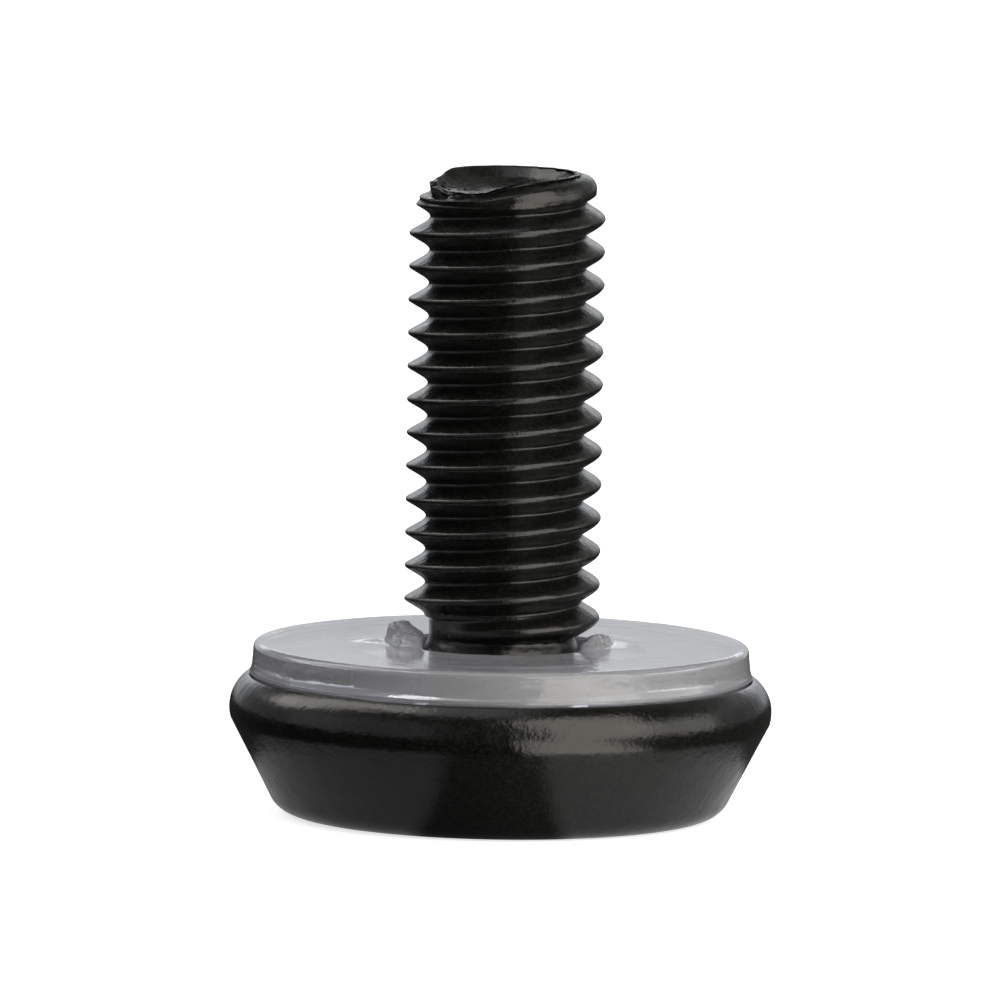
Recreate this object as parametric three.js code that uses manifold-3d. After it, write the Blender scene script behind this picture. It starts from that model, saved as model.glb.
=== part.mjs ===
// Swivel leveling foot for office furniture: a threaded steel stud whose flanged head turns on a
// round-bottomed seat, and a drawn steel base that rocks on that seat and stays level on the floor.
// Millimetres, +Z up, origin on the floor under the stud's axis.
import * as THREE from "three";
import { mergeVertices } from "three/addons/utils/BufferGeometryUtils.js";
import Module from "manifold-3d";

const wasm = await Module();
wasm.setup();

// ---- Driving dimensions ----
const INCH = 25.4;
const THREADS_PER_INCH = 16; // 3/8-16 UNC
const THREAD_MAJOR_R = 4.635; // crest radius under its paint
const THREAD_DEPTH = 0.935;
const CREST_FLAT_SHARE = 1 / 8; // of the pitch
const FLANK_ANGLE = rad(30);
const CREST_HEIGHT_AT_PLUS_X = 11.05; // height of one crest where it crosses the +X side
const THREAD_RUN_IN = 0.5; // height over which the first crest grows out of the neck
const NECK_R = 3.45; // plain neck, a little thinner than the thread's roots
const NECK_ABOVE_DISC = 0.7; // how much of the neck shows above the clear disc
const STUD_TOP = 30.65;
const STUD_END_R = 4.15; // the last turn is not fully formed
const STUD_END_TAPER = 1.6; // how far below the top the crests begin to fade
const STUD_RIM_R = 3.55;
const STUD_RIM_DROP = 0.4;
const STUD_DISH_R = 2.7; // a rolled stud's end is hollow
const STUD_DISH_DEPTH = 0.5;

const HEAD_R = 6.5;
const HEAD_THICKNESS = 1.5;
const HEAD_CHAMFER = 0.3;

const WALL = 1.0; // steel sheet of the base
const CREASE_R = 12.85; // where the flared side turns into the rolled bead
const CREASE_HEIGHT = 4.52;
const FLARE_ANGLE = rad(27.4); // the side's lean from upright
const FOOT_CORNER_R = 1.44;
const BEAD_R = 1.926;
const BEAD_HEIGHT = 5.0; // height of the bead's centre
const LIP_ANGLE = rad(57); // how far round the bead the sheet goes before it ends

const DISC_PROUD = 1.54; // how far the clear disc stands above the steel lip
const DISC_WALL_INSET = 0.07; // how far the disc's wall stands in from the lip's edge
const DISC_DRAFT = 0.13; // the disc's wall leans in by this much over its height
const DISC_EDGE_R = 0.4;
const DISC_BORE_CHAMFER = 0.15;
const DISC_SHOULDER = 2.45; // solid disc above the stud's head

const PIVOT_BELOW_DISC_TOP = 0.5; // centre of the swivel's sphere, inside the disc's bore
const TILT_LIMIT = rad(4);
const SOCKET_FLOOR = 0.85; // plastic left under the swivel seat
const SEAT_PROUD = 0.6; // how far the seat stands out of its dish
const SEAT_HEIGHT = 1.7;

const SLIP_GAP = 0.03; // between faces that turn or rock on each other
const ASSEMBLY_GAP = 0.05; // between pieces that are pressed or snapped together
const THREAD_GAP = 0.1; // the disc's bore stands this far off the thread that was pushed through it
const ROCK_MARGIN = 0.1; // left over at the end of the tilt

const ROUND_STEPS = 48; // facets round a turned piece
const THREAD_STEPS = 36; // facets round one turn of the thread
const ARC_STEPS = 6; // facets along a full fillet or bead

// ---- Sizes that follow from them ----
const PITCH = INCH / THREADS_PER_INCH;
const THREAD_ROOT_R = THREAD_MAJOR_R - THREAD_DEPTH;
const BEAD_CENTRE_R = CREASE_R - Math.sqrt(BEAD_R ** 2 - (BEAD_HEIGHT - CREASE_HEIGHT) ** 2);
const LIP_TOP = BEAD_HEIGHT + BEAD_R * Math.sin(LIP_ANGLE);
const LIP_EDGE_R = BEAD_CENTRE_R + BEAD_R * Math.cos(LIP_ANGLE);
const DISC_TOP = LIP_TOP + DISC_PROUD;
const PIVOT = DISC_TOP - PIVOT_BELOW_DISC_TOP;
const SOCKET_BOTTOM = WALL + ASSEMBLY_GAP;
const SEAT_BOTTOM = SOCKET_BOTTOM + SOCKET_FLOOR;
const SEAT_SPHERE_R = PIVOT - SEAT_BOTTOM;
const SEAT_TOP = SEAT_BOTTOM + SEAT_HEIGHT;
const HEAD_BOTTOM = SEAT_TOP + SLIP_GAP;
const HEAD_TOP = HEAD_BOTTOM + HEAD_THICKNESS;
const THREAD_START = DISC_TOP + NECK_ABOVE_DISC;
const POCKET_R = HEAD_R + (PIVOT - HEAD_BOTTOM) * Math.sin(TILT_LIMIT) + ROCK_MARGIN;
const POCKET_FLOOR = SEAT_TOP - SEAT_PROUD;
const SHOULDER_UNDERSIDE = DISC_TOP - DISC_SHOULDER;
const DISC_BORE_R = THREAD_MAJOR_R + THREAD_GAP;
const DISC_UNDERSIDE = CREASE_HEIGHT - 0.25 * BEAD_R + ROCK_MARGIN;
const SOCKET_TOP = DISC_UNDERSIDE - ASSEMBLY_GAP;

// ---- Materials ----
const blackPaint = new THREE.MeshStandardMaterial({ color: 0x141413, roughness: 0.3, metalness: 0.2 });
const clearPlastic = new THREE.MeshStandardMaterial({ color: 0xb9bcc2, roughness: 0.15, metalness: 0 });
const blackNylon = new THREE.MeshStandardMaterial({ color: 0x1b1b1c, roughness: 0.55, metalness: 0 });
const brightSteel = new THREE.MeshStandardMaterial({ color: 0xa6a8ab, roughness: 0.25, metalness: 1 });

// ---- Helpers ----
function rad(degrees) {
  return (degrees * Math.PI) / 180;
}

function point(r, z) {
  return new THREE.Vector2(r, z);
}

// Points on a circle in the profile's plane, both ends included.
function arc(centreR, centreZ, radius, from, to, steps = ARC_STEPS) {
  return Array.from({ length: steps + 1 }, (_, i) => {
    const angle = from + ((to - from) * i) / steps;
    return point(centreR + radius * Math.cos(angle), centreZ + radius * Math.sin(angle));
  });
}

// A profile of (radius, height) points turned about the Z axis.
function turned(profile, steps = ROUND_STEPS) {
  return new THREE.LatheGeometry(profile, steps).rotateX(Math.PI / 2);
}

// A ring's profile, which closes on itself.
function ring(profile) {
  return turned([...profile, profile[0]]);
}

function solid(geometry) {
  const bare = geometry.clone().deleteAttribute("normal").deleteAttribute("uv");
  const merged = mergeVertices(bare, 1e-4);
  return new wasm.Manifold(
    new wasm.Mesh({
      numProp: 3,
      vertProperties: new Float32Array(merged.attributes.position.array),
      triVerts: new Uint32Array(merged.index.array),
    }),
  );
}

function geometryOf(manifold) {
  const mesh = manifold.getMesh();
  const geometry = new THREE.BufferGeometry();
  geometry.setAttribute("position", new THREE.BufferAttribute(mesh.vertProperties, 3));
  geometry.setIndex(new THREE.BufferAttribute(mesh.triVerts, 1));
  geometry.computeVertexNormals();
  return geometry;
}

function piece(name, geometry, material) {
  const mesh = new THREE.Mesh(geometry, material);
  mesh.name = name;
  return mesh;
}

// Radius of the base's flared side at a height, outside (inset 0) or inside the sheet.
function flareRadius(height, inset = 0) {
  return CREASE_R - (CREASE_HEIGHT - height) * Math.tan(FLARE_ANGLE) - inset / Math.cos(FLARE_ANGLE);
}

// ---- Threaded stud ----
// One pitch of the thread as [share of the pitch, radius]: crest, flank, root, flank.
function threadSection() {
  const crestHalf = CREST_FLAT_SHARE / 2;
  const flank = (THREAD_DEPTH * Math.tan(FLANK_ANGLE)) / PITCH;
  return [
    [-crestHalf, THREAD_MAJOR_R],
    [crestHalf, THREAD_MAJOR_R],
    [crestHalf + flank, THREAD_ROOT_R],
    [1 - crestHalf - flank, THREAD_ROOT_R],
  ];
}

// A right-hand threaded bar from below `low` to above `high`, with stepped ends that are cut off later.
// Its rows climb with the helix, so a row meets the row one pitch up after a full turn.
function threadedBar(low, high) {
  const section = threadSection();
  const rows = section.length;
  const firstTurn = Math.floor((low - CREST_HEIGHT_AT_PLUS_X) / PITCH) - 2;
  const turns = Math.ceil((high - CREST_HEIGHT_AT_PLUS_X) / PITCH) + 1 - firstTurn;
  const bottom = CREST_HEIGHT_AT_PLUS_X + firstTurn * PITCH;
  const lastRow = turns * rows;
  const positions = [];
  for (let row = 0; row <= lastRow + rows; row++) {
    const [share, radius] = section[row % rows];
    const height = bottom + (Math.floor(row / rows) + share) * PITCH;
    const columns = row <= lastRow ? THREAD_STEPS : 1;
    for (let i = 0; i < columns; i++) {
      const turn = i / THREAD_STEPS;
      const angle = turn * 2 * Math.PI;
      positions.push(radius * Math.cos(angle), radius * Math.sin(angle), height + turn * PITCH);
    }
  }
  // Column THREAD_STEPS of a row is column 0 of the row one pitch up.
  const firstUpper = (lastRow + 1) * THREAD_STEPS;
  const at = (row, column) => {
    if (column === THREAD_STEPS) return at(row + rows, 0);
    return row <= lastRow ? row * THREAD_STEPS + column : firstUpper + (row - lastRow - 1);
  };
  const faces = [];
  for (let row = 0; row < lastRow; row++)
    for (let i = 0; i < THREAD_STEPS; i++) {
      faces.push(at(row, i), at(row, i + 1), at(row + 1, i + 1));
      faces.push(at(row, i), at(row + 1, i + 1), at(row + 1, i));
    }
  const footCentre = positions.length / 3;
  positions.push(0, 0, bottom);
  const headCentre = footCentre + 1;
  positions.push(0, 0, bottom + (turns + 1) * PITCH);
  const around = (row, step) => Array.from({ length: THREAD_STEPS + 1 }, (_, i) => at(row, i));
  const fan = (centre, loop, upward) =>
    loop.forEach((a, i) => {
      const b = loop[(i + 1) % loop.length];
      faces.push(...(upward ? [centre, a, b] : [centre, b, a]));
    });
  const seam = (row) => Array.from({ length: rows - 1 }, (_, i) => at(row + rows - 1 - i, 0));
  fan(footCentre, [...around(0), ...seam(0)], false);
  fan(headCentre, [...around(lastRow), ...seam(lastRow)], true);
  const geometry = new THREE.BufferGeometry();
  geometry.setAttribute("position", new THREE.Float32BufferAttribute(positions, 3));
  geometry.setIndex(faces);
  return geometry;
}

// What the bar is trimmed to: a faded first and last turn, and a hollow end.
function studEnvelope() {
  const clear = THREAD_MAJOR_R + 0.5;
  return turned([
    point(0, THREAD_START),
    point(NECK_R, THREAD_START),
    point(clear, THREAD_START + THREAD_RUN_IN),
    point(clear, STUD_TOP - STUD_END_TAPER - (clear - STUD_END_R)),
    point(STUD_END_R, STUD_TOP - STUD_RIM_DROP),
    point(STUD_RIM_R, STUD_TOP),
    point(STUD_DISH_R, STUD_TOP - STUD_DISH_DEPTH),
    point(0, STUD_TOP - STUD_DISH_DEPTH),
  ]);
}

// The head and neck, with a core that reaches up inside the thread to join them.
function studHead() {
  const coreR = 0.8 * NECK_R;
  return turned([
    point(0, HEAD_BOTTOM),
    point(HEAD_R - HEAD_CHAMFER, HEAD_BOTTOM),
    point(HEAD_R, HEAD_BOTTOM + HEAD_CHAMFER),
    point(HEAD_R, HEAD_TOP - HEAD_CHAMFER),
    point(HEAD_R - HEAD_CHAMFER, HEAD_TOP),
    point(NECK_R, HEAD_TOP),
    point(NECK_R, THREAD_START),
    point(coreR, THREAD_START),
    point(coreR, THREAD_START + PITCH),
    point(0, THREAD_START + PITCH),
  ]);
}

function threadedStud() {
  const thread = solid(threadedBar(THREAD_START, STUD_TOP)).intersect(solid(studEnvelope()));
  return piece("threaded_stud", geometryOf(thread.add(solid(studHead()))), blackPaint);
}

// ---- Base shell ----
// A cup drawn from one sheet: flat foot, flared side, and a bead rolled in over the disc.
function baseShell() {
  const turnAtFoot = Math.PI / 2 - FLARE_ANGLE;
  const footFlatR = flareRadius(0) - FOOT_CORNER_R * Math.tan(turnAtFoot / 2);
  const creaseAngle = Math.asin((CREASE_HEIGHT - BEAD_HEIGHT) / BEAD_R);
  const upFoot = -Math.PI / 2;
  const ontoFlare = -FLARE_ANGLE;
  const cornerInside = FOOT_CORNER_R - WALL;
  const beadInside = BEAD_R - WALL;
  return piece(
    "base_shell",
    turned([
      point(0, 0),
      ...arc(footFlatR, FOOT_CORNER_R, FOOT_CORNER_R, upFoot, ontoFlare),
      ...arc(BEAD_CENTRE_R, BEAD_HEIGHT, BEAD_R, creaseAngle, LIP_ANGLE, 2 * ARC_STEPS),
      ...arc(BEAD_CENTRE_R, BEAD_HEIGHT, beadInside, LIP_ANGLE, creaseAngle),
      ...arc(footFlatR, FOOT_CORNER_R, cornerInside, ontoFlare, upFoot, 3),
      point(0, WALL),
    ]),
    blackPaint,
  );
}

// ---- Clear retaining disc ----
// Its flange fills the bead's hollow, its neck passes the lip's edge, and its wall stands above the lip.
function retainerDisc() {
  const flangeStart = Math.asin((CREASE_HEIGHT - BEAD_HEIGHT) / BEAD_R);
  const flangeR = BEAD_R - WALL - ASSEMBLY_GAP;
  const alongLip = new THREE.Vector2(Math.cos(LIP_ANGLE), Math.sin(LIP_ANGLE));
  const offLip = new THREE.Vector2(-alongLip.y, alongLip.x).multiplyScalar(ASSEMBLY_GAP);
  const besideLip = (distance) =>
    alongLip.clone().multiplyScalar(distance).add(offLip).add(point(BEAD_CENTRE_R, BEAD_HEIGHT));
  const lipPassed = besideLip(BEAD_R + ASSEMBLY_GAP);
  const wallFootR = LIP_EDGE_R - DISC_WALL_INSET;
  const wallTopR = wallFootR - DISC_DRAFT;
  return piece(
    "retainer_disc",
    ring([
      point(POCKET_R, DISC_UNDERSIDE),
      point(flareRadius(DISC_UNDERSIDE, WALL) - ASSEMBLY_GAP, DISC_UNDERSIDE),
      ...arc(BEAD_CENTRE_R, BEAD_HEIGHT, flangeR, flangeStart, LIP_ANGLE),
      besideLip(flangeR),
      lipPassed,
      point(wallFootR, lipPassed.y),
      ...arc(wallTopR - DISC_EDGE_R, DISC_TOP - DISC_EDGE_R, DISC_EDGE_R, 0, Math.PI / 2, 4),
      point(DISC_BORE_R + DISC_BORE_CHAMFER, DISC_TOP),
      point(DISC_BORE_R, DISC_TOP - DISC_BORE_CHAMFER),
      point(DISC_BORE_R, SHOULDER_UNDERSIDE),
      point(POCKET_R, SHOULDER_UNDERSIDE),
    ]),
    clearPlastic,
  );
}

// ---- Socket pad ----
// The nylon body that fills the cup and carries the load from the swivel seat to the steel.
function socketPad() {
  const dishR = SEAT_SPHERE_R + SLIP_GAP;
  const dishFrom = -Math.PI / 2;
  const dishTo = -Math.asin((PIVOT - POCKET_FLOOR) / dishR);
  const bottomR = flareRadius(WALL + FOOT_CORNER_R - WALL, WALL) - 2 * FOOT_CORNER_R * Math.tan(FLARE_ANGLE);
  return piece(
    "socket_pad",
    turned([
      point(0, SOCKET_BOTTOM),
      point(bottomR, SOCKET_BOTTOM),
      point(flareRadius(FOOT_CORNER_R, WALL) - ASSEMBLY_GAP, FOOT_CORNER_R),
      point(flareRadius(SOCKET_TOP, WALL) - ASSEMBLY_GAP, SOCKET_TOP),
      point(POCKET_R, SOCKET_TOP),
      point(POCKET_R, POCKET_FLOOR),
      ...arc(0, PIVOT, dishR, dishTo, dishFrom).slice(0, -1),
      point(0, PIVOT - dishR),
    ]),
    blackNylon,
  );
}

// ---- Swivel seat ----
// A round-bottomed steel button: the stud's head turns on its flat top, and it rocks in the socket.
function swivelSeat() {
  const rimAngle = -Math.asin((PIVOT - SEAT_TOP) / SEAT_SPHERE_R);
  return piece(
    "swivel_seat",
    turned([
      point(0, SEAT_BOTTOM),
      ...arc(0, PIVOT, SEAT_SPHERE_R, -Math.PI / 2, rimAngle).slice(1),
      point(0, SEAT_TOP),
    ]),
    brightSteel,
  );
}

const levelingFoot = new THREE.Group();
levelingFoot.add(threadedStud(), swivelSeat(), baseShell(), socketPad(), retainerDisc());

export default levelingFoot;
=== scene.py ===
# %% [markdown]
# # A swivel leveling foot
#
# A leveling foot is a threaded stud standing in a small round base. The stud screws up into a
# furniture leg, and turning it raises or lowers that corner. The base is a cup pressed from black
# steel sheet, closed on top by a disc of clear soft plastic that grips the stud's neck.
#
# The measured solids are loaded first. They carry the sizes and the joints, and the finer surfaces
# made below are laid over them.

import math

import bmesh
import bpy
import numpy as np
from mathutils import Matrix, Vector


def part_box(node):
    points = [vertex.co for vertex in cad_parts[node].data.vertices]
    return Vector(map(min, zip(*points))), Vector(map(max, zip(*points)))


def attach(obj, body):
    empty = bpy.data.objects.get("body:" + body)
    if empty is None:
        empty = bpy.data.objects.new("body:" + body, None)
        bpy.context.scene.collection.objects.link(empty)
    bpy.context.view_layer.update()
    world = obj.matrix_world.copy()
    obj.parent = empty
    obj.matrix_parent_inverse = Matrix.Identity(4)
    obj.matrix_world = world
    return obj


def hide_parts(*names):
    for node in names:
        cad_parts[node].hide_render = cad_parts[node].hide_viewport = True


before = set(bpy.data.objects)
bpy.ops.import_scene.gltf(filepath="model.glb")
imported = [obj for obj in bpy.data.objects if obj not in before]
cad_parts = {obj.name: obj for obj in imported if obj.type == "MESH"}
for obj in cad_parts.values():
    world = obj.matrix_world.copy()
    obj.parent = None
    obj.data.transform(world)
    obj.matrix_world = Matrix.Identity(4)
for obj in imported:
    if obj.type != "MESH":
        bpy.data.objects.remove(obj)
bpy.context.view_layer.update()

# %% [markdown]
# ## Sizes
#
# All shapes below are worked out in millimetres and turned into metres when a mesh is made. The
# outer sizes are read off the solids, so the fine surfaces can't drift away from them.

# %% Sizes read off the solids
MM = 0.001


def box_mm(node):
    """Lowest and highest corner of a measured solid, in millimetres."""
    low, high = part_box(node)
    return np.array(low) / MM, np.array(high) / MM


shell_low, shell_high = box_mm("base_shell")
disc_low, disc_high = box_mm("retainer_disc")
stud_low, stud_high = box_mm("threaded_stud")
SHELL_R = shell_high[0]
LIP_TOP = shell_high[2]
DISC_TOP = disc_high[2]
STUD_TOP = stud_high[2]
HEAD_BOTTOM = stud_low[2]
HEAD_R = stud_high[0]
print(f"shell radius {SHELL_R:.2f}, lip {LIP_TOP:.2f}, disc top {DISC_TOP:.2f}, stud top {STUD_TOP:.2f}")

# %% [markdown]
# ## Tools for making surfaces
#
# Every piece here is a grid of points. Rows run along a profile and columns run round the axis.
# A thread needs one trick: after a full turn its surface has climbed by one pitch, so the last
# column joins the first column of the row one pitch higher. `row_shift` says how many rows that is,
# and is zero for a plain turned piece.

# %% Grid of points to mesh
MERGE_DISTANCE = 2e-7  # metres


def grid_mesh(name, points, row_shift=0):
    """Joins a grid of points (rows, columns, xyz in mm) into a closed surface round the axis.

    Each point is joined to its neighbour in the next column and the next row. The column after the
    last is column 0 of the row row_shift further on. Points that fall together are merged, which
    closes the two ends where the rows shrink to the axis.
    """
    rows, columns, _ = points.shape
    index = np.arange(rows * columns).reshape(rows, columns)
    wide = np.concatenate([index, np.roll(index, -row_shift, axis=0)[:, :1]], axis=1)
    last = rows - 1 - row_shift
    a, b = wide[:last, :-1], wide[:last, 1:]
    c, d = wide[1 : last + 1, 1:], wide[1 : last + 1, :-1]
    quads = np.stack([a, b, c, d], axis=-1).reshape(-1, 4)
    mesh = bpy.data.meshes.new(name)
    mesh.from_pydata((points.reshape(-1, 3) * MM).tolist(), [], quads.tolist())
    tidy = bmesh.new()
    tidy.from_mesh(mesh)
    bmesh.ops.remove_doubles(tidy, verts=tidy.verts, dist=MERGE_DISTANCE)
    loose = [v for v in tidy.verts if not v.link_faces]
    bmesh.ops.delete(tidy, geom=loose, context="VERTS")
    bmesh.ops.holes_fill(tidy, edges=[e for e in tidy.edges if e.is_boundary], sides=0)
    tidy.to_mesh(mesh)
    open_edges = sum(not e.is_manifold for e in tidy.edges)
    tidy.free()
    mesh.shade_smooth()
    piece = bpy.data.objects.new(name, mesh)
    bpy.context.scene.collection.objects.link(piece)
    print(f"{name}: {len(mesh.polygons)} faces, {open_edges} open edges")
    return piece


# %% Profiles, and turning them round the axis
def arc(centre, radius, start, end, steps):
    """Points on a circle in the profile's plane, from one angle to another in degrees."""
    angle = np.radians(np.linspace(start, end, steps + 1))
    return [(centre[0] + radius * math.cos(t), centre[1] + radius * math.sin(t)) for t in angle]


def resample(profile, step):
    """The same polyline with points added, so that no two neighbours are further apart than step."""
    profile = np.array(profile, float)
    gaps = np.hypot(*np.diff(profile, axis=0).T)
    counts = np.maximum(1, np.ceil(gaps / step)).astype(int)
    spans = [np.linspace(i, i + 1, n, endpoint=False) for i, n in enumerate(counts)]
    where = np.concatenate(spans + [[len(gaps)]])
    knots = np.arange(len(profile))
    return np.stack([np.interp(where, knots, profile[:, k]) for k in (0, 1)], axis=1)


def turned(profile, columns):
    """Radius and height along the profile for every angle: two grids, and the row of angles."""
    angle = np.linspace(0, 2 * np.pi, columns, endpoint=False)
    radius = np.repeat(profile[:, :1], columns, axis=1)
    height = np.repeat(profile[:, 1:], columns, axis=1)
    return radius, height, angle


def polar(radius, angle, height):
    """Points from radius, angle and height: x = r cos a, y = r sin a, z = height."""
    return np.stack([radius * np.cos(angle), radius * np.sin(angle), height + 0 * angle], axis=-1)


def shift_radius(points, radius, change):
    """Moves points straight out from the axis, in place: x and y grow by 1 + change / radius."""
    points[..., :2] *= (1 + change / np.maximum(radius, 1.0))[..., None]


quarter = resample(arc((0, 0), 1, 0, 90, 8), 0.1)
print(f"a quarter circle of radius 1 becomes {len(quarter)} points")

# %% [markdown]
# Real surfaces are never quite even. This noise gives every corner of a cubic lattice a random
# number and blends smoothly between them, so nearby points get similar values. The seed is fixed,
# and the result is the same each time.

# %% Smooth noise
TABLE_SIZE = 4096
LATTICE_KEYS = np.array([73856093, 19349663, 83492791])  # large odd numbers, to scatter the corners


def noise(points, size, seed):
    """Value noise between -1 and 1: random numbers on a lattice of that size, smoothly blended."""
    table = np.random.default_rng(seed).uniform(-1, 1, TABLE_SIZE)
    scaled = points / size
    cell = np.floor(scaled).astype(int)
    part = scaled - cell
    part = part * part * (3 - 2 * part)
    total = np.zeros(points.shape[:-1])
    for corner in range(8):
        offset = np.array([corner & 1, corner >> 1 & 1, corner >> 2 & 1])
        key = (cell + offset) @ LATTICE_KEYS
        weight = np.prod(np.where(offset, part, 1 - part), axis=-1)
        total += weight * table[(key ^ (key >> 13)) % TABLE_SIZE]
    return total


def bump_at(value, centre, half_width):
    """A smooth hill: 1 at the centre, falling to 0 half_width away, as a raised cosine."""
    away = np.clip(np.abs(value - centre) / half_width, 0, 1)
    return 0.5 + 0.5 * np.cos(np.pi * away)


def ramp(value, low, high):
    """0 below low, 1 above high, and a smooth step between."""
    t = np.clip((value - low) / (high - low), 0, 1)
    return t * t * (3 - 2 * t)


def angle_from(degrees, centre):
    """The angle past a centre, between -180 and 180 degrees."""
    return (degrees - centre + 180) % 360 - 180


samples = noise(np.linspace(0, 20, 500)[:, None] * np.ones(3), 1.0, 1)
print(f"noise runs from {samples.min():.2f} to {samples.max():.2f}")

# %% [markdown]
# ## Camera
#
# The view is from slightly above the level of the foot and from far away with a long lens, so there
# is almost no perspective. The camera is rolled by less than a degree.

# %% Camera
VIEW_ELEVATION = 6.6  # degrees above level
VIEW_DISTANCE = 1.0  # metres
VIEW_ROLL = 0.86  # degrees
FRAME_WIDTH = 0.04753  # metres across the view, at the stud's axis
SENSOR = 36.0  # millimetres
AIM = np.array([-0.00017, 0.0, 0.015])  # metres

camera = bpy.data.objects.new("camera", bpy.data.cameras.new("camera"))
bpy.context.scene.collection.objects.link(camera)
tip = math.radians(VIEW_ELEVATION)
camera.location = AIM + VIEW_DISTANCE * np.array([0, -math.cos(tip), math.sin(tip)])
camera.rotation_mode = "XYZ"
level = Matrix.Rotation(math.pi / 2 - tip, 3, "X")
camera.rotation_euler = (level @ Matrix.Rotation(math.radians(VIEW_ROLL), 3, "Z")).to_euler()
camera.data.sensor_width = SENSOR
camera.data.lens = SENSOR * VIEW_DISTANCE / FRAME_WIDTH
camera.data.clip_end = 50  # metres
bpy.context.scene.camera = camera
bpy.context.scene.view_settings.view_transform = "Standard"
print(f"lens {camera.data.lens:.0f} mm")

# %% [markdown]
# ## Materials
#
# Black paint over steel is glossy but not flat: it dries with a faint orange peel, and the pressed
# sheet under it is slightly uneven. Two noises of different size give the bump, and a third varies
# the gloss. They read object coordinates, so nothing has to be unwrapped and nothing stretches.

# %% Material helpers
def new_material(name):
    """A material with a Principled shader, and short ways to reach its nodes."""
    material = bpy.data.materials.new(name)
    material.use_nodes = True
    return material, material.node_tree, material.node_tree.nodes["Principled BSDF"]


def set_inputs(node, **values):
    """Sets a node's inputs by name, with underscores for spaces."""
    for key, value in values.items():
        node.inputs[key.replace("_", " ")].default_value = value


def noise_node(tree, size_mm, detail=2.0, roughness=0.5):
    """A noise texture in object coordinates whose features are about size_mm across."""
    place = tree.nodes.new("ShaderNodeTexCoord")
    texture = tree.nodes.new("ShaderNodeTexNoise")
    set_inputs(texture, Scale=1 / (size_mm * MM), Detail=detail, Roughness=roughness)
    tree.links.new(place.outputs["Object"], texture.inputs["Vector"])
    return texture


def spread(tree, source, low, high, from_low=0.3, from_high=0.7):
    """Maps a texture's 0 to 1 value onto another range."""
    node = tree.nodes.new("ShaderNodeMapRange")
    set_inputs(node, From_Min=from_low, From_Max=from_high, To_Min=low, To_Max=high)
    tree.links.new(source, node.inputs["Value"])
    return node.outputs["Result"]


def add_bumps(tree, shader, layers):
    """Adds bump layers, given as (noise size in mm, height in mm, detail), one on the other."""
    normal = None
    for size, height, detail in layers:
        bump = tree.nodes.new("ShaderNodeBump")
        set_inputs(bump, Strength=1.0, Distance=height * MM)
        tree.links.new(noise_node(tree, size, detail).outputs["Fac"], bump.inputs["Height"])
        if normal is not None:
            tree.links.new(normal, bump.inputs["Normal"])
        normal = bump.outputs["Normal"]
    tree.links.new(normal, shader.inputs["Normal"])


def mix_colours(tree, shader, factor, first, second):
    """Blends two base colours by a texture: first where the factor is 0, second where it is 1."""
    colour = tree.nodes.new("ShaderNodeMix")
    colour.data_type = "RGBA"
    set_inputs(colour, A=first, B=second)
    tree.links.new(factor, colour.inputs["Factor"])
    tree.links.new(colour.outputs["Result"], shader.inputs["Base Color"])


# %% Black paint, for the stud and the shell
PAINT_BLACK = (0.0032, 0.0032, 0.0029, 1)
DUST_GREY = (0.015, 0.015, 0.0135, 1)


def black_paint(name, roughness, layers):
    """Gloss black with fine dust in it. The roughness wanders between the two given values."""
    material, tree, shader = new_material(name)
    set_inputs(shader, IOR=1.5)
    dust = spread(tree, noise_node(tree, 0.16, 3.0, 0.7).outputs["Fac"], 0.0, 1.0, 0.42, 0.75)
    mix_colours(tree, shader, dust, PAINT_BLACK, DUST_GREY)
    gloss = noise_node(tree, 0.8, 3.0).outputs["Fac"]
    tree.links.new(spread(tree, gloss, *roughness), shader.inputs["Roughness"])
    add_bumps(tree, shader, layers)
    return material


stud_paint = black_paint("black_paint_stud", (0.16, 0.30), [(0.7, 0.036, 2.0), (0.13, 0.014, 3.0)])
shell_paint = black_paint("black_paint_shell", (0.14, 0.26), [(1.1, 0.038, 2.0), (0.17, 0.016, 3.0)])
print("made", stud_paint.name, "and", shell_paint.name)

# %% [markdown]
# The disc is soft clear vinyl. It bends light like glass, but it isn't perfectly clear: it has a
# cool tint, and a slight haze that softens what is seen through it.

# %% Clear vinyl
COOL_TINT = (0.88, 0.89, 0.96, 1)


def clear_vinyl():
    """Glass-like shader with part of the light scattered, and patches of haze in the roughness."""
    material, tree, shader = new_material("clear_vinyl")
    set_inputs(shader, Base_Color=COOL_TINT, IOR=1.5, Transmission_Weight=0.74)
    haze = noise_node(tree, 2.5, 3.0).outputs["Fac"]
    tree.links.new(spread(tree, haze, 0.03, 0.09), shader.inputs["Roughness"])
    add_bumps(tree, shader, [(1.4, 0.03, 2.0), (0.25, 0.011, 3.0)])
    return material


vinyl = clear_vinyl()
print("made", vinyl.name)

# %% [markdown]
# The two pieces inside the cup are never in plain view, but they are finished like the real ones:
# moulded nylon has a fine even grain, and a turned steel button has rings round its axis.

# %% Nylon and turned steel
NYLON_DARK = (0.016, 0.016, 0.017, 1)
NYLON_LIGHT = (0.028, 0.028, 0.029, 1)
STEEL_GREY = (0.60, 0.60, 0.61, 1)


def moulded_nylon():
    """Dark nylon with slow clouds in its colour and an even grain."""
    material, tree, shader = new_material("moulded_nylon")
    set_inputs(shader, IOR=1.53)
    mix_colours(tree, shader, noise_node(tree, 1.5).outputs["Fac"], NYLON_DARK, NYLON_LIGHT)
    grain = noise_node(tree, 0.4).outputs["Fac"]
    tree.links.new(spread(tree, grain, 0.45, 0.62), shader.inputs["Roughness"])
    add_bumps(tree, shader, [(0.12, 0.006, 3.0)])
    return material


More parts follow.
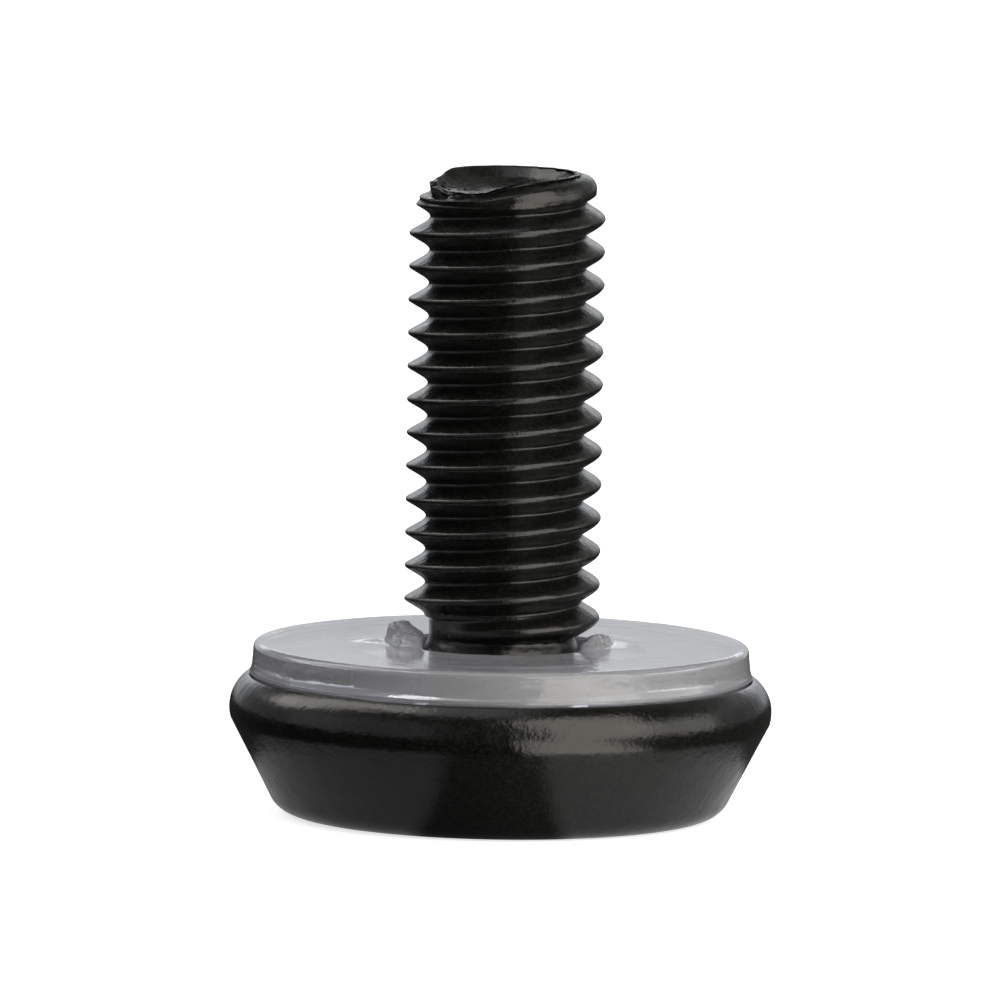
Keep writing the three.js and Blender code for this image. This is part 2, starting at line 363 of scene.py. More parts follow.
def turned_steel():
    """Bare steel with fine rings round the axis, as a turning tool leaves them."""
    material, tree, shader = new_material("turned_steel")
    set_inputs(shader, Base_Color=STEEL_GREY, Metallic=1.0)
    place = tree.nodes.new("ShaderNodeTexCoord")
    rings = tree.nodes.new("ShaderNodeTexWave")
    rings.wave_type = "RINGS"
    rings.rings_direction = "Z"
    set_inputs(rings, Scale=1400.0, Distortion=1.0, Detail=2.0)
    tree.links.new(place.outputs["Object"], rings.inputs["Vector"])
    bump = tree.nodes.new("ShaderNodeBump")
    set_inputs(bump, Strength=0.5, Distance=0.004 * MM)
    tree.links.new(rings.outputs["Fac"], bump.inputs["Height"])
    tree.links.new(bump.outputs["Normal"], shader.inputs["Normal"])
    smears = noise_node(tree, 0.7).outputs["Fac"]
    tree.links.new(spread(tree, smears, 0.18, 0.34), shader.inputs["Roughness"])
    return material


for node, finish in (("socket_pad", moulded_nylon()), ("swivel_seat", turned_steel())):
    for material_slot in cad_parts[node].material_slots:
        material_slot.material = finish
    print(node, "is finished as", finish.name)

# %% [markdown]
# ## The threaded stud
#
# The stud is rolled, not cut, so its crests and roots are rounded. Its surface is one long strip
# that starts at the middle of the hidden head, runs out and over the flange, up the neck, up the
# thread, over the rim of the end and down into the hollow in it. The thread's section depends only
# on the row, because the rows climb with the helix. Blender's Screw modifier could sweep a
# thread up the axis too, but it would end in two raw cuts. This way the neck, the thread and the
# torn end are one closed skin.

# %% Thread section
PITCH = 25.4 / 16  # sixteen turns to the inch
MAJOR_R = 4.660
ROOT_R = 3.67
ROOT_SOFTNESS = 0.13


def thread_radius(away, worn):
    """Radius at a distance along the axis from a crest's middle.

    The flank is a straight line at 30 degrees. A soft minimum with the outside radius rounds the
    crest, and a soft maximum with the root radius rounds the root. Where `worn` is 1 the paint lies
    thick and the crest is broad and round, and where it is 0 the crest is sharper.
    """
    crest_half = 0.09 + 0.10 * worn
    soft_crest = 0.045 + 0.125 * worn
    flank = MAJOR_R + (crest_half - away) * math.sqrt(3)
    crest = -soft_crest * np.logaddexp(-flank / soft_crest, -MAJOR_R / soft_crest)
    return ROOT_SOFTNESS * np.logaddexp(crest / ROOT_SOFTNESS, ROOT_R / ROOT_SOFTNESS)


half_rows = np.array([0.0, 0.035, 0.07, 0.11, 0.15, 0.20, 0.27, 0.35, 0.43, 0.51, 0.58, 0.65, 0.72])
row_phase = np.concatenate([half_rows, [PITCH / 2], PITCH - half_rows[:0:-1]])
ROWS_PER_PITCH = len(row_phase)
print(f"{ROWS_PER_PITCH} rows in a pitch")
print(f"crest radius {thread_radius(0, 0):.3f}, root radius {thread_radius(PITCH / 2, 0):.3f}")

# %% The strip's path, from the head's middle to the end's middle
# Each point gives the distance along the strip, the radius and the height.
HEAD_THICKNESS = 1.5
NECK_R = 3.45
END_RIM_R = 4.19
RIM_DEPTH = 0.95  # the end's edge is rounded over this much of its height
neck_path = [
    (0.0, 0.0, HEAD_BOTTOM),
    (1.4, HEAD_R - 0.3, HEAD_BOTTOM),
    (1.7, HEAD_R, HEAD_BOTTOM + 0.3),
    (2.6, HEAD_R, HEAD_BOTTOM + HEAD_THICKNESS - 0.3),
    (2.9, HEAD_R - 0.3, HEAD_BOTTOM + HEAD_THICKNESS),
    (4.0, NECK_R + 0.3, HEAD_BOTTOM + HEAD_THICKNESS),
    (4.4, NECK_R, HEAD_BOTTOM + HEAD_THICKNESS + 0.3),
    (5.0, NECK_R + 0.1, DISC_TOP - 1.2),
    (5.4, NECK_R + 0.30, DISC_TOP - 0.75),
    (5.9, NECK_R + 0.27, DISC_TOP - 0.25),
    (6.2, NECK_R + 0.14, DISC_TOP + 0.02),
    (6.4, NECK_R + 0.03, DISC_TOP + 0.22),
    (6.6, NECK_R, DISC_TOP + 0.42),
]
neck_s, _, neck_z = neck_path[-1]
top_s = neck_s + (STUD_TOP - RIM_DEPTH) - neck_z
end_path = [
    (neck_s + 2.5, NECK_R, neck_z + 2.5),
    (top_s - 2.0, END_RIM_R, STUD_TOP - RIM_DEPTH - 2.0),
    (top_s, END_RIM_R, STUD_TOP - RIM_DEPTH),
    (top_s + 0.20, END_RIM_R - 0.03, STUD_TOP - 0.74),
    (top_s + 0.42, END_RIM_R - 0.12, STUD_TOP - 0.52),
    (top_s + 0.64, END_RIM_R - 0.25, STUD_TOP - 0.32),
    (top_s + 0.84, END_RIM_R - 0.40, STUD_TOP - 0.15),
    (top_s + 1.02, END_RIM_R - 0.56, STUD_TOP - 0.04),
    (top_s + 1.20, END_RIM_R - 0.70, STUD_TOP),
    (top_s + 1.36, END_RIM_R - 0.84, STUD_TOP - 0.06),
    (top_s + 1.60, END_RIM_R - 1.01, STUD_TOP - 0.23),
    (top_s + 1.95, END_RIM_R - 1.27, STUD_TOP - 0.49),
    (top_s + 2.3, END_RIM_R - 1.6, STUD_TOP - 0.70),
    (top_s + 2.8, END_RIM_R - 2.3, STUD_TOP - 0.82),
    (top_s + 3.8, 0.0, STUD_TOP - 0.86),
]
path = np.array(neck_path + end_path)
print(f"the strip is {path[-1, 0]:.1f} mm from middle to middle")

# %% Lay the strip out round the helix
STUD_COLUMNS = 144
CREST_HEIGHT_AT_PLUS_X = 11.05  # where one crest crosses the plane straight to the right
turns = int(math.ceil(path[-1, 0] / PITCH)) + 2
row_start = np.concatenate([row_phase + k * PITCH for k in range(-1, turns)])[:, None]
angle = np.linspace(0, 2 * np.pi, STUD_COLUMNS, endpoint=False)[None, :]
degrees = np.degrees(angle)
climb = PITCH * angle / (2 * np.pi)
thread_offset = (CREST_HEIGHT_AT_PLUS_X - neck_z + neck_s) % PITCH
along = row_start + thread_offset + climb
path_r = np.interp(along, path[:, 0], path[:, 1])
height = np.interp(along, path[:, 0], path[:, 2])
print("grid of the strip", along.shape)

# %% [markdown]
# The first crest grows out of the neck over half a turn, as it does where the rolling dies ran out.
# The last one is not fully formed either, because the bar was sheared off through it.

# %% Where the thread starts and stops
# `turn_number` counts turns along the helix from the first full crest. Each row belongs to the crest
# that is nearest to it.
THICK_PAINT_AT = 325  # degrees
FADE_HEIGHTS = (28.75, 29.3)  # the last crest sinks into the end's rim between these
away = np.minimum(row_phase, PITCH - row_phase)
worn = bump_at(angle_from(degrees, THICK_PAINT_AT), 0, 100)
section = thread_radius(np.tile(away, turns + 1)[:, None], worn)
first_crest = CREST_HEIGHT_AT_PLUS_X - PITCH
turn_start = np.repeat(np.arange(-1, turns) * PITCH, ROWS_PER_PITCH)[:, None]
crest_z = neck_z - neck_s + turn_start + thread_offset + climb
nearest = np.tile(ramp(row_phase / PITCH, 0.38, 0.62), turns + 1)[:, None]
turn_number = (crest_z - first_crest) / PITCH + nearest
formed = ramp(turn_number, -0.50, -0.08)
fade = np.interp(height, FADE_HEIGHTS, [MAJOR_R, END_RIM_R])
threaded = np.minimum(path_r + (section - path_r) * formed, fade)

# %% Radius all along the strip
# The plain neck, then the thread, then the thread drawn in over the rim, then the hollow.
end_part = along > top_s
rounding = path_r - END_RIM_R
radius = np.where(along < neck_s, path_r, threaded)
radius = np.where(end_part, np.maximum(threaded + rounding * threaded / END_RIM_R, 0), radius)
radius = np.where(along > top_s + 1.2, path_r, radius)
radius = np.where(along > path[-1, 0], 0, radius)
stud_points = polar(radius, angle, height)
print(f"stud surface reaches radius {radius.max():.2f}")

# %% [markdown]
# Where the shear let go, on the left towards the front, the rim is low and ragged, with a knob and a
# folded flap of steel beside it. The grid is pushed about with smooth hills and noise, which keeps
# it closed and gives real edges that catch the light.

# %% The rim that sank
# RIM_DROP gives how far the rim has sunk at each angle. The wall under it is squeezed by the same
# amount, and part of the hollow's floor sinks with it.
RIM_DROP = [
    (0, 0), (125, 0), (140, 0.04), (155, 0.38), (175, 0.62), (200, 0.70), (225, 0.78),
    (242, 0.68), (256, 0.55), (270, 0.30), (288, 0.12), (312, 0.05), (335, 0.02), (360, 0),
]
smooth_angle = np.linspace(0, 360, 721)
sunk = np.interp(smooth_angle, *np.array(RIM_DROP).T)
window = np.hanning(25)
sunk = np.convolve(np.pad(sunk, 12, mode="wrap"), window / window.sum(), mode="valid")
drop = np.interp(degrees, smooth_angle, sunk)
wall_part = np.clip((height - (STUD_TOP - 1.35)) / 1.25, 0, 1)
hollow = ramp(along, top_s + 1.35, top_s + 2.5)
level_points = stud_points.copy()
stud_points[..., 2] -= drop * wall_part * (1 - 0.72 * hollow)
print(f"the rim sinks by up to {drop.max():.2f} mm")

# %% Torn steel
# `torn` is 1 in the middle of the tear and `lip_part` is 1 on the rim. The noises give lumps and
# creases, and each hill has its own place round the axis and along the strip.
torn = bump_at(degrees, 205, 78)
lip_part = ramp(along, top_s + 0.1, top_s + 0.9) * (1 - ramp(along, top_s + 1.4, top_s + 2.3))
lumps = noise(level_points, 0.60, 3) + 0.55 * noise(level_points, 0.28, 4)
creases = 1 - 2 * np.abs(noise(level_points, 0.32, 5))
knob = bump_at(degrees, 189, 14) * bump_at(along, top_s + 0.75, 0.9)
flap = bump_at(degrees, 235, 26) * bump_at(along, top_s + 0.6, 1.0)
swell = bump_at(angle_from(degrees, 5), 0, 34) * bump_at(along, top_s + 0.65, 0.8)
stud_points[..., 2] += (0.16 * lumps + 0.04 * creases) * torn * lip_part + 0.05 * flap - 0.05 * knob
push = (0.13 * lumps + 0.08 * creases) * torn * wall_part * (1 - hollow)
push = push + 0.10 * knob + 0.30 * flap + 0.15 * swell - 0.10 * torn * lip_part
shift_radius(stud_points, radius, push)
print(f"torn steel is pushed out by up to {push.max():.2f} mm")

# %% Rough floor of the hollow, and uneven paint on the crests
rough_floor = 0.06 * noise(stud_points, 1.1, 8) + 0.025 * noise(stud_points, 0.33, 9)
specks = 0.10 * np.maximum(noise(stud_points, 0.20, 10), 0) * bump_at(degrees, 178, 50)
specks = specks * ramp(along, top_s + 1.2, top_s + 1.7) * ramp(radius, 1.5, 2.2)
stud_points[..., 2] += hollow * rough_floor + specks
in_thread = (along > neck_s) & (along < top_s + 0.9)
wander = (0.012 * noise(stud_points, 0.7, 11) + 0.006 * noise(stud_points, 0.20, 12)) * in_thread
shift_radius(stud_points, radius, wander)

# %% Close the two ends on the axis and make the stud
stud_points[along >= path[-1, 0]] = (0, 0, STUD_TOP - 0.9)
stud_points[along <= 0] = (0, 0, HEAD_BOTTOM)
stud = grid_mesh("stud_surface", stud_points, ROWS_PER_PITCH)
stud.data.materials.append(stud_paint)

# %% [markdown]
# ## The steel shell
#
# The shell is pressed from one disc of sheet: flat underneath, flared up and out, and rolled in at
# the top over the clear disc. It is a turned surface with a little unevenness pressed into it, most
# of all on the rolled bead, where the sheet was gathered in. Blender's Spin tool would turn the same
# profile, but perfectly round, and a perfectly round shell mirrors the room too cleanly.

# %% Shell profile
WALL = 1.0  # sheet thickness
CREASE = (12.85, 4.52)  # radius and height of the crease between the flare and the bead
FLARE = 27.4  # degrees from upright
CORNER_R = 1.44  # outside corner at the foot
BEAD_R = 1.926
BEAD_HEIGHT = 5.0
LIP_ANGLE = 57  # degrees round the bead at which the sheet ends
EDGE_CURVE = 0.13  # the cut edge of the sheet is eased by this radius
bead_centre = (SHELL_R - BEAD_R, BEAD_HEIGHT)
crease_angle = math.degrees(math.asin((CREASE[1] - BEAD_HEIGHT) / BEAD_R))
flare_tan = math.tan(math.radians(FLARE))
foot_flat = CREASE[0] - CREASE[1] * flare_tan - CORNER_R * math.tan(math.radians(90 - FLARE) / 2)
edge_turn = math.radians(LIP_ANGLE - 3.5)
edge_centre = (
    bead_centre[0] + (BEAD_R - 0.14) * math.cos(edge_turn),
    bead_centre[1] + (BEAD_R - 0.14) * math.sin(edge_turn),
)
shell_profile = (
    [(0, 0)]
    + arc((foot_flat, CORNER_R), CORNER_R, -90, -FLARE, 16)
    + arc(bead_centre, BEAD_R, crease_angle, LIP_ANGLE - 4, 28)
    + arc(edge_centre, EDGE_CURVE, LIP_ANGLE, LIP_ANGLE + 85, 6)
    + arc(bead_centre, BEAD_R - WALL, LIP_ANGLE, crease_angle, 14)
    + arc((foot_flat, CORNER_R), CORNER_R - WALL, -FLARE, -90, 6)
    + [(0, WALL)]
)
shell_profile = resample(shell_profile, 0.25)
print(f"{len(shell_profile)} rows, foot flat to radius {foot_flat:.2f}")

# %% Turn the shell, with the unevenness of pressed sheet
SHELL_COLUMNS = 288
radius, height, angle = turned(shell_profile, SHELL_COLUMNS)
shell_points = polar(radius, angle[None, :], height)
outside = ramp(height, 0.05, 0.6)
dents = 0.012 * noise(shell_points, 2.2, 21) + 0.006 * noise(shell_points, 0.9, 22)
gathered = 0.010 * noise(shell_points * np.array([1, 1, 0.4]), 1.1, 23) * ramp(height, 4.2, 5.6)
shift_radius(shell_points, radius, (dents + gathered) * outside)
shell = grid_mesh("shell_surface", shell_points)
shell.data.materials.append(shell_paint)

# %% [markdown]
# ## The clear disc
#
# The disc's wall leans out a little towards its sharp lower edge, and its top edge is softly
# rounded. The thread was pushed through the bore when the foot was put together. It dragged the
# soft plastic up with it, and left it torn and crumpled against the neck on two sides. A cylinder
# with a hole and a bevel would do for the plain part. Here the rows lie close together near the
# bore, because that is where the points have to move.

# %% Disc profile
# The disc's flange lies under the rolled bead, and the stud's flange turns in the pocket below.
WALL_TOP_R = 11.80
WALL_FOOT_R = 11.96
BORE_R = 4.735
UNDERSIDE = disc_low[2]
SHOULDER = DISC_TOP - 2.45  # top of the pocket
POCKET_R = 6.88
EDGE_R = 0.34
CLEARANCE = 0.05  # between the disc and the steel round it
lip_out = LIP_TOP + 0.06
flange_r = BEAD_R - WALL - CLEARANCE
inside_flare = CREASE[0] - (CREASE[1] - UNDERSIDE) * flare_tan - WALL / math.cos(math.radians(FLARE))
disc_edge = (
    [(POCKET_R, SHOULDER), (POCKET_R, UNDERSIDE), (inside_flare - CLEARANCE, UNDERSIDE)]
    + arc(bead_centre, flange_r, crease_angle, LIP_ANGLE - 2, 10)
    + [(WALL_FOOT_R - 0.05, lip_out - 0.05), (WALL_FOOT_R, lip_out)]
    + [(WALL_FOOT_R - 0.10, lip_out + 0.35), (WALL_TOP_R + 0.01, lip_out + 0.9)]
    + arc((WALL_TOP_R - EDGE_R, DISC_TOP - EDGE_R), EDGE_R, 0, 90, 8)
)
to_bore = [(BORE_R + 0.12, DISC_TOP), (BORE_R + 0.03, DISC_TOP - 0.04), (BORE_R, DISC_TOP - 0.13)]
disc_profile = np.concatenate(
    [
        resample(disc_edge, 0.3),
        resample([(WALL_TOP_R - EDGE_R - 0.02, DISC_TOP), (6.6, DISC_TOP)], 0.22)[1:],
        resample([(6.5, DISC_TOP)] + to_bore, 0.05),
        resample([(BORE_R, DISC_TOP - 0.13), (BORE_R, SHOULDER)], 0.12)[1:],
        [(POCKET_R, SHOULDER)],
    ]
)
DISC_COLUMNS = 360
radius, height, angle = turned(disc_profile, DISC_COLUMNS)
degrees = np.degrees(angle)[None, :]
disc_points = polar(radius, angle[None, :], height)
print("disc rows", len(disc_profile))

# %% [markdown]
# The crumpled plastic is part of the same skin as the disc, so it is made by moving the disc's own
# points: up and in at the bore's edge, then folded by noise. It stays clear of the neck when the stud
# leans.

# %% Crumpled plastic at the neck
def crumple(points, radius, height, degrees, start, end, soft, reach, rise, inward, seed):
    """Drags the edge of the bore up and in towards the neck, between two angles.

    `across` runs from 0 on the flat top, a distance of `reach` out from the bore, to 1 at the
    bore's edge. The surface climbs by `rise` over the first three quarters and then turns down and
    inwards by `inward`, like the rim of a crater. `down` runs from 0 at the edge to 1 a little way
    down the bore, where the push has died out. Noise folds the raised part, with sharp ridges made
    by taking its absolute value away from 1.
    """
    turn = (degrees - start) % 360
    turn = np.where(turn > 300, turn - 360, turn)
    span = ramp(turn, 0, soft) * (1 - ramp(turn, end - start - soft, end - start))
    across = np.clip((BORE_R + reach - radius) / reach, 0, 1) * (height > DISC_TOP - 0.2)
    down = np.clip((DISC_TOP - height) / 0.9, 0, 1)
    inside = (radius < BORE_R + 0.01) & (height <= DISC_TOP - 0.1)
    crater = ramp(across, 0, 0.75) - 0.5 * ramp(across, 0.75, 1)
    climb = np.where(inside, 0.5 * (1 - ramp(down, 0, 1)), crater)
    pull_in = np.where(inside, 1 - ramp(down, 0, 0.9), ramp(across, 0.55, 1))
    size = np.where(inside, 1 - ramp(down, 0, 0.5), ramp(across, 0.05, 0.5))
    folds = 1 - 2.4 * np.abs(noise(points * np.array([1, 1, 0.3]), 0.22, seed + 1))
    folds = folds + 0.6 * (1 - 2.4 * np.abs(noise(points, 0.13, seed + 2)))
    ragged = 1 + 0.25 * noise(points * np.array([1, 1, 0]), 0.5, seed)
    up = span * (rise * climb * ragged + min(rise, 0.8) * 0.26 * folds * size)
    inwards = span * (inward * pull_in - 0.12 * folds * size * min(rise, 1))
    around = span * size * 0.14 * noise(points, 0.30, seed + 4) / np.maximum(radius, 1)
    return up, inwards, around


# Angles in degrees: start, end and how softly each place ends. Then reach, rise and pull in mm.
CRUMPLED = (
    (160, 222, 22, 0.95, 0.78, 0.88, 31),  # left
    (316, 374, 22, 0.65, 0.46, 0.63, 41),  # right
    (70, 130, 22, 0.5, 0.20, 0.5, 51),  # behind
)
up, inward, around = 0, 0, 0
for place in CRUMPLED:
    moved = crumple(disc_points, radius, height, degrees, *place)
    up, inward, around = up + moved[0], inward + moved[1], around + moved[2]
print(f"the bore's edge rises by up to {np.max(up):.2f} mm")

# %% Two low mounds on the flat top, then the disc's mesh
# The top was pushed up a little outside each crumpled place, and all of it has settled unevenly.
on_top = ramp(height, DISC_TOP - 0.05, DISC_TOP - 0.01)
x, y = disc_points[..., 0], disc_points[..., 1]
left_mound = bump_at(np.hypot((x + 5.9) / 1.3, (y - 0.5) / 1.2), 0, 1.3)
right_mound = bump_at(np.hypot((x - 5.2) / 1.0, (y - 1.2) / 1.9), 0, 1.6)
settle = 0.015 * noise(disc_points, 4.0, 61) + 0.006 * noise(disc_points, 1.5, 62)
up = up + on_top * (0.11 * left_mound + 0.11 * right_mound + settle)
disc_points = polar(radius - inward, np.radians(degrees) + around, height + up)
disc = grid_mesh("disc_surface", disc_points)
disc.data.materials.append(vinyl)

# %% [markdown]
# ## What each surface stands for
#
# Each fine surface replaces one measured solid and rides on the same body, so it moves with it. The
# seat and the pad inside the cup keep their measured shapes.

# %% Tie the surfaces to the bodies
for piece, node, body, slot in (
    (stud, "threaded_stud", "stud", "black_steel"),
    (shell, "base_shell", "foot", "black_steel"),
    (disc, "retainer_disc", "foot", "clear_plastic"),
):
    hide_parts(node)
    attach(piece, body)
    print(piece.name, "replaces", node, "and rides on", body)

# %% [markdown]
# ## Floor and light
#
# The foot stands on a plain white floor in a white room whose front, behind the camera, is dark. A
# dark front is what makes glossy black look black. Soft boxes over the left and to the right of the
# camera draw the long soft reflections on the bead and the threads.

# %% Node helpers for the stage
def math_node(tree, operation, *values):
    """A Math node fed with numbers or other nodes' outputs."""
    node = tree.nodes.new("ShaderNodeMath")
    node.operation = operation
    for socket, value in zip(node.inputs, values):
        if isinstance(value, (int, float)):
            socket.default_value = value
        else:
            tree.links.new(value, socket)
    return node.outputs["Value"]


def smooth_step(tree, source, low, high, below=0.0, above=1.0):
    """Goes from one value to another as the source passes from low to high, without a corner."""
    node = tree.nodes.new("ShaderNodeMapRange")
    node.interpolation_type = "SMOOTHSTEP"
    set_inputs(node, From_Min=low, From_Max=high, To_Min=below, To_Max=above)
    tree.links.new(source, node.inputs["Value"])
    return node.outputs["Result"]


def multiply(tree, *values):
    """The product of two or more numbers or nodes' outputs."""
    total = values[0]
    for value in values[1:]:
        total = math_node(tree, "MULTIPLY", total, value)
    return total


def emission(tree, colour, strength):
    """An Emission shader whose strength is a number or another node's output."""
    node = tree.nodes.new("ShaderNodeEmission")
    set_inputs(node, Color=colour)
    if isinstance(strength, (int, float)):
        set_inputs(node, Strength=strength)
    else:
        tree.links.new(strength, node.inputs["Strength"])
    return node.outputs["Emission"]


def add_shaders(tree, first, second):
    """Both shaders' light together."""
    node = tree.nodes.new("ShaderNodeAddShader")
    tree.links.new(first, node.inputs[0])
    tree.links.new(second, node.inputs[1])
    return node.outputs["Shader"]


def mirrored_or_seen(tree, mirrored, seen):
    """One shader for what other surfaces mirror, and another for what is seen directly."""
    ray = tree.nodes.new("ShaderNodeLightPath")
    choice = tree.nodes.new("ShaderNodeMixShader")
    tree.links.new(ray.outputs["Is Camera Ray"], choice.inputs["Fac"])
    tree.links.new(mirrored, choice.inputs[1])
    tree.links.new(seen, choice.inputs[2])
    return choice.outputs["Shader"]


# %% Floor
WHITE = (1, 1, 1, 1)
WARM_WHITE = (1.0, 0.97, 0.88, 1)
FLOOR_HALF = 3.0  # metres
FLOOR_Z = -0.02 * MM  # a hair under the foot, so that the two flat faces don't fight
floor = bpy.data.meshes.new("floor")
around_edge = np.array([(-1, -1), (1, -1), (1, 1), (-1, 1)]) * FLOOR_HALF
floor.from_pydata([(*corner, FLOOR_Z) for corner in around_edge.tolist()], [], [(0, 1, 2, 3)])
floor_object = bpy.data.objects.new("floor", floor)
bpy.context.scene.collection.objects.link(floor_object)
white, tree, shader = new_material("floor_white")
tree.nodes.remove(shader)
print(f"floor {2 * FLOOR_HALF:.0f} m across")

# %% [markdown]
# The floor is seen white, with only a trace of shadow. What the foot mirrors of it is set apart from
# that and glows with painted light and shade: grey painted light close to the foot, painted shade in a
# strip in front of it and towards the left, and a painted pool of the right soft box's light further
# out, standing in for the light the floor throws back.

# %% What the foot mirrors of the floor: painted light and shade
place = tree.nodes.new("ShaderNodeTexCoord")
parts = tree.nodes.new("ShaderNodeSeparateXYZ")
tree.links.new(place.outputs["Object"], parts.inputs["Vector"])
length = tree.nodes.new("ShaderNodeVectorMath")
length.operation = "LENGTH"
tree.links.new(place.outputs["Object"], length.inputs[0])
distance = length.outputs["Value"]
# Painted light and shade, not lit by any lamp: grey painted light on the floor close to the foot, painted
# shade in a strip straight in front of it (`middle`), and painted shade growing towards the left.
painted_light_near_foot = smooth_step(tree, distance, 14.6 * MM, 17.0 * MM, 0.62, 0.05)
across = math_node(tree, "ABSOLUTE", math_node(tree, "ADD", parts.outputs["X"], 0.4 * MM))
middle = smooth_step(tree, across, 2.9 * MM, 4.3 * MM, 0.19, 1.0)
painted_shade_to_left = smooth_step(tree, parts.outputs["X"], -3.5 * MM, 3.5 * MM, 0.56, 0.92)


def side_of(azimuth, softness, flip=1):
    """1 on one side of a line through the middle of the floor, and 0 on the other.

    The side is the sine of the angle past the line: x cos a + y sin a, over the distance.
    """
    turn = math.radians(azimuth)
    along_x = multiply(tree, parts.outputs["X"], flip * math.cos(turn))
    along_y = multiply(tree, parts.outputs["Y"], flip * math.sin(turn))
    over = math_node(tree, "ADD", along_x, along_y)
    sine = math_node(tree, "DIVIDE", over, distance)
    return smooth_step(tree, sine, -softness, softness)


# A painted pool of the right soft box's light on the floor, in a sector to the right and further out than
# the painted shade by the foot. Together they make the painted light and shade the foot mirrors.
painted_box_light_sector = multiply(tree, side_of(9, 0.02), side_of(44, 0.12, -1))
painted_box_light_far_out = smooth_step(tree, distance, 15.5 * MM, 17.0 * MM, 0.0, 2.6)
painted_light_and_shade_close_floor = emission(tree, WHITE, multiply(tree, painted_light_near_foot, middle, painted_shade_to_left))
painted_box_light_on_floor = emission(tree, WARM_WHITE, multiply(tree, painted_box_light_sector, painted_box_light_far_out))
painted_light_and_shade_floor = add_shaders(tree, painted_light_and_shade_close_floor, painted_box_light_on_floor)

# %% What is seen of the floor
plain = tree.nodes.new("ShaderNodeBsdfDiffuse")
set_inputs(plain, Color=(0.92, 0.92, 0.92, 1))
seen_floor = add_shaders(tree, plain.outputs["BSDF"], emission(tree, WHITE, 0.72))
surface = mirrored_or_seen(tree, painted_light_and_shade_floor, seen_floor)
tree.links.new(surface, tree.nodes["Material Output"].inputs["Surface"])
floor.materials.append(white)
print("floor material has", len(tree.nodes), "nodes")

# %% [markdown]
# The room is drawn straight into the world's shader. Each bright part of it is a product of smooth
# steps in the view direction, so it has soft edges like a real soft box, and every part can be moved
# or dimmed on its own. Seen directly, the room is plain white.

# %% Room light
world = bpy.data.worlds.new("studio")
bpy.context.scene.world = world
world.use_nodes = True
tree = world.node_tree
tree.nodes.clear()
direction = tree.nodes.new("ShaderNodeTexCoord")


def panel(brightness, *limits):
    """A bright part of the room, bounded in one or more directions.

    Each limit is (axis, low, high, softness). The view direction's dot product with the axis is
    compared with the bounds: the brightness rises over the softness about low and falls again about
    high. None leaves that side open.
    """
    total = brightness
    for axis, low, high, soft in limits:
        dot = tree.nodes.new("ShaderNodeVectorMath")
        dot.operation = "DOT_PRODUCT"
        tree.links.new(direction.outputs["Generated"], dot.inputs[0])
        dot.inputs[1].default_value = axis
        source = dot.outputs["Value"]
        if low is not None:
            total = multiply(tree, smooth_step(tree, source, low - soft, low + soft), total)
        if high is not None:
            total = multiply(tree, smooth_step(tree, source, high - soft, high + soft, 1, 0), total)
    return total


def room_side(colour, panels):
    """A world background of one colour, as bright as all its panels together."""
    brightness = DIM_ROOM
    for part in panels:
        brightness = math_node(tree, "ADD", part, brightness)
    side = tree.nodes.new("ShaderNodeBackground")
    set_inputs(side, Color=colour)
    tree.links.new(brightness, side.inputs["Strength"])
    return side.outputs["Background"]


# %% The bright parts of the room
DIM_ROOM = 0.02
COOL_LIGHT = (0.93, 0.96, 1.0, 1)
WARM_LIGHT = (1.0, 0.98, 0.92, 1)
RIGHT, BACK, UP = (1, 0, 0), (0, 1, 0), (0, 0, 1)
TO_LEFT_BOX, BACK_AND_UP = (1, 0, -0.65), (0, 1, 1)
COOL_PANELS = [
    # backdrop
    panel(0.52, (RIGHT, -0.45, 0.45, 0.15), (UP, None, 0.34, 0.06), (BACK, 0.0, None, 0.15)),
    # side walls
    panel(0.20, (UP, None, 0.5, 0.1), (BACK, -0.25, None, 0.15)),
    # wall to the left, in front
    panel(0.32, (RIGHT, None, -0.40, 0.15), (UP, -0.2, 0.65, 0.12), (BACK, None, 0.2, 0.15)),
    # strip light behind
    panel(1.3, (RIGHT, -0.35, 0.35, 0.05), (UP, 0.20, 0.30, 0.02), (BACK, 0, None, 0.1)),
    # overhead
    panel(0.85, (RIGHT, -0.5, 0.12, 0.08), (BACK, -0.42, 0.22, 0.03), (UP, 0.86, None, 0.02)),
]
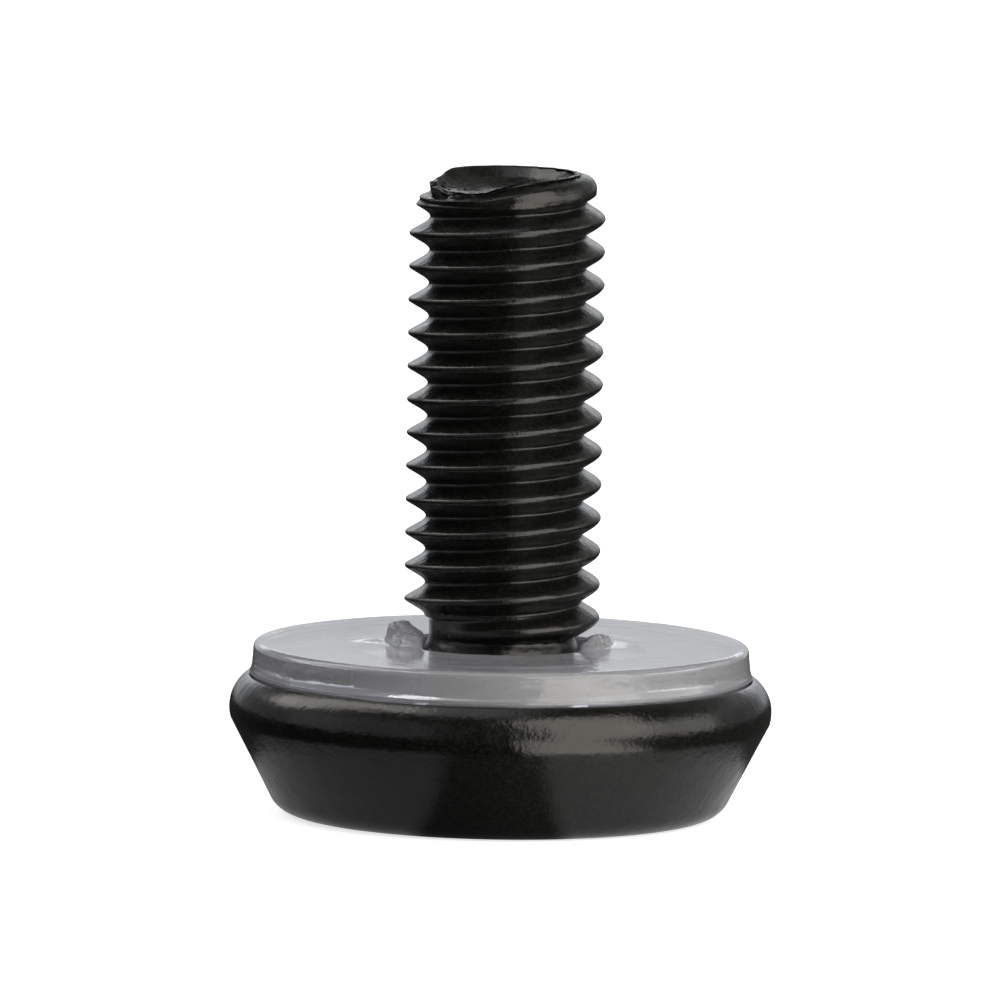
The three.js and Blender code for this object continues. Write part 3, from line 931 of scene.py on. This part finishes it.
WARM_PANELS = [
    # to the right, behind
    panel(0.17, (RIGHT, 0.02, None, 0.03), (BACK, 0.25, None, 0.08), (UP, 0.30, None, 0.06)),
    # to the right
    panel(1.5, (RIGHT, 0.60, None, 0.05), (BACK, -0.42, 0.28, 0.05), (UP, -0.1, 0.50, 0.05)),
    # over the left
    panel(2.7, (TO_LEFT_BOX, None, -0.94, 0.03), (BACK_AND_UP, 0.78, None, 0.05), (UP, 0.40, 0.97, 0.05)),
]
cool_side, warm_side = room_side(COOL_LIGHT, COOL_PANELS), room_side(WARM_LIGHT, WARM_PANELS)
white_room = tree.nodes.new("ShaderNodeBackground")
set_inputs(white_room, Color=WHITE)
surface = mirrored_or_seen(tree, add_shaders(tree, cool_side, warm_side), white_room.outputs["Background"])
output = tree.nodes.new("ShaderNodeOutputWorld")
tree.links.new(surface, output.inputs["Surface"])
print(len(COOL_PANELS) + len(WARM_PANELS), "bright parts in the room")

# %% [markdown]
# One lamp stands to the right, in front. It could be one more bright part of the room, but Blender
# aims rays at a lamp, so its broad reflection on the bead comes out clean.

# %% Soft box
MIDDLE_HEIGHT = 0.015  # metres, half way up the foot


def soft_box(name, azimuth, elevation, distance, width, height, brightness, colour):
    """An area light facing the foot. Azimuth is from straight ahead of the foot to the right."""
    a, e = math.radians(azimuth), math.radians(elevation)
    towards = np.array([math.sin(a) * math.cos(e), -math.cos(a) * math.cos(e), math.sin(e)])
    light = bpy.data.lights.new(name, "AREA")
    light.shape = "RECTANGLE"
    light.size, light.size_y = width, height
    light.energy = brightness * width * height * math.pi
    light.color = colour
    lamp = bpy.data.objects.new(name, light)
    lamp.visible_camera = False
    lamp.location = towards * distance + np.array([0, 0, MIDDLE_HEIGHT])
    lamp.rotation_mode = "QUATERNION"
    lamp.rotation_quaternion = Vector(towards).to_track_quat("Z", "Y")
    bpy.context.scene.collection.objects.link(lamp)
    print(f"{name}: {light.energy:.2f} W")


soft_box("right_box", 42, 27, 0.6, 0.54, 0.78, 2.7, WARM_WHITE[:3])
